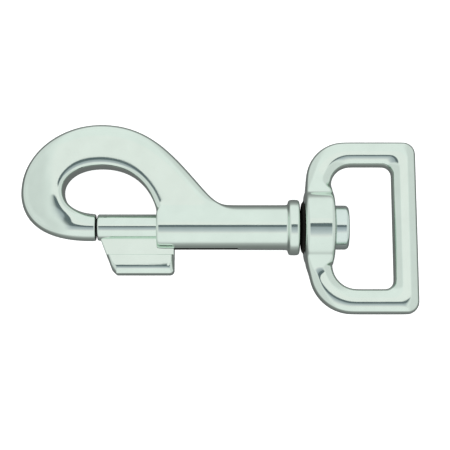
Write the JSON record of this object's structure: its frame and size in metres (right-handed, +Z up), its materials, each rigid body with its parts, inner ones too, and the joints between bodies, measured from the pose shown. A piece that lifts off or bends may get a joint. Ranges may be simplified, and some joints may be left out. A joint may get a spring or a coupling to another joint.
{
  "type": "bolt snap hook with swivelling strap eye",
  "caption": "Plated die-cast snap hook: a spring-loaded sliding bolt with a thumb pad closes a round hook, and a D-shaped strap eye swivels on a headed pin.",
  "frame": {"origin": "middle of the inner face of the strap eye's far bar, on the axis the eye swivels about", "axes": "+X along the barrel from the hook to the strap eye, +Y across it in the hook's plane towards the top of the hook, +Z up through the thickness of the snap lying flat"},
  "size_m": [0.0827, 0.0398, 0.0156],
  "materials": {
    "hook_body": "satin-bright plating on a zinc die casting",
    "slide_bolt": "satin-bright plating on a zinc die casting",
    "bolt_spring": "drawn spring wire",
    "swivel_pin": "satin-bright plated pin",
    "strap_eye": "satin-bright plating on a zinc die casting"
  },
  "bodies": {
    "snap": {"hook_body": "hook_body", "swivel_pin": "swivel_pin", "bolt_spring": "bolt_spring"},
    "bolt": {"slide_bolt": "slide_bolt"},
    "eye": {"strap_eye": "strap_eye"}
  },
  "joints": [
    {"name": "bolt_slide", "type": "slide", "parent": "snap", "child": "bolt", "axis": [1, 0, 0], "range_m": [0, 0.0128], "stiffness_N_per_m": 400, "springref_m": -0.006, "deforming": ["bolt_spring"]},
    {"name": "eye_swivel", "type": "hinge", "parent": "snap", "child": "eye", "pos_m": [-0.01535, 0, 0], "axis": [1, 0, 0], "continuous": true}
  ]
}
